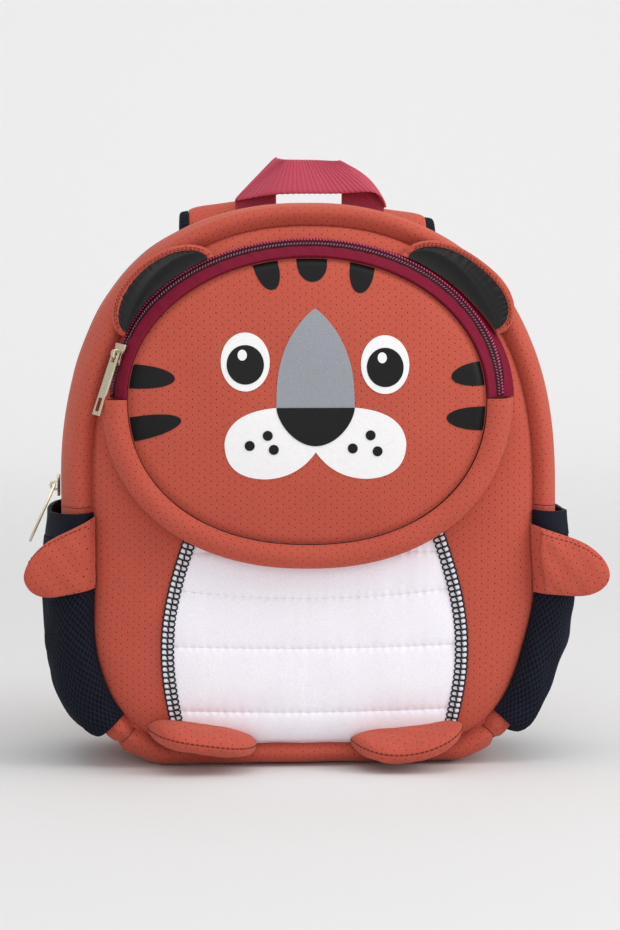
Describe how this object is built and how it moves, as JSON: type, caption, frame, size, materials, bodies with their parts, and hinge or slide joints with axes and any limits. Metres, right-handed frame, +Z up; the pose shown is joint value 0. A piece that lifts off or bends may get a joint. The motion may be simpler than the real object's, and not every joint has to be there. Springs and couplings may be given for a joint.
{
  "type": "child's animal backpack",
  "caption": "Small arched neoprene backpack with an animal-face front pocket, quilted belly, side mesh pockets, padded straps and zip pulls.",
  "frame": {"origin": "on the floor under the middle of the main compartment", "axes": "+Z up, the face looks along -Y, +X to the viewer's right"},
  "size_m": [0.2964, 0.1542, 0.3126],
  "materials": {
    "coral_neoprene": "perforated knit-faced neoprene",
    "white_neoprene": "smooth quilted knit",
    "navy_mesh": "air mesh",
    "navy_tape": "woven tape",
    "burgundy_zip": "woven zip tape with nylon coil",
    "red_webbing": "ribbed webbing",
    "black_vinyl": "grained coated cloth",
    "white_print": "heat-pressed film",
    "grey_print": "heat-pressed film",
    "black_print": "heat-pressed film",
    "navy_plastic": "moulded",
    "nickel": "satin nickel plate"
  },
  "bodies": {
    "bag": {"front_panel": "coral_neoprene", "back_panel": "coral_neoprene", "arch_front_strip": "coral_neoprene", "arch_back_strip": "coral_neoprene", "base_strip": "coral_neoprene", "side_strip_left": "coral_neoprene", "side_strip_right": "coral_neoprene", "face_panel": "coral_neoprene", "face_border": "coral_neoprene", "belly_panel": "white_neoprene", "main_zip": "burgundy_zip", "face_zip": "burgundy_zip", "ear_left": "coral_neoprene", "ear_lining_left": "black_vinyl", "arm_left": "coral_neoprene", "foot_left": "coral_neoprene", "side_pocket_left": "navy_mesh", "pocket_binding_left": "navy_tape", "shoulder_strap_left": "coral_neoprene", "strap_binding_left": "navy_tape", "strap_loop_left": "navy_tape", "strap_adjuster_left": "navy_plastic", "strap_webbing_left": "navy_tape", "strap_anchor_left": "coral_neoprene", "ear_right": "coral_neoprene", "ear_lining_right": "black_vinyl", "arm_right": "coral_neoprene", "foot_right": "coral_neoprene", "side_pocket_right": "navy_mesh", "pocket_binding_right": "navy_tape", "shoulder_strap_right": "coral_neoprene", "strap_binding_right": "navy_tape", "strap_loop_right": "navy_tape", "strap_adjuster_right": "navy_plastic", "strap_webbing_right": "navy_tape", "strap_anchor_right": "coral_neoprene", "top_handle": "red_webbing", "eye_white_left": "white_print", "pupil_left": "black_print", "glint_left": "white_print", "cheek_stripe_left_1": "black_print", "cheek_stripe_left_2": "black_print", "eye_white_right": "white_print", "pupil_right": "black_print", "glint_right": "white_print", "cheek_stripe_right_1": "black_print", "cheek_stripe_right_2": "black_print", "brow_stripe_1": "black_print", "brow_stripe_2": "black_print", "brow_stripe_3": "black_print", "nose_bridge": "grey_print", "nose": "black_print", "muzzle": "white_print", "face_zip_slider": "nickel", "main_zip_slider": "nickel"},
    "face_pull": {"face_zip_pull": "nickel"},
    "main_pull": {"main_zip_pull": "nickel"}
  },
  "joints": [
    {"name": "face_pull_hinge", "type": "hinge", "parent": "bag", "child": "face_pull", "pos_m": [-0.09815, -0.05793, 0.21247], "axis": [-0.5825, 0.8058, 0.1067], "range_deg": [0, 145]},
    {"name": "main_pull_hinge", "type": "hinge", "parent": "bag", "child": "main_pull", "pos_m": [-0.13035, 0.01116, 0.14101], "axis": [0, 1, 0], "range_deg": [0, 140]}
  ]
}
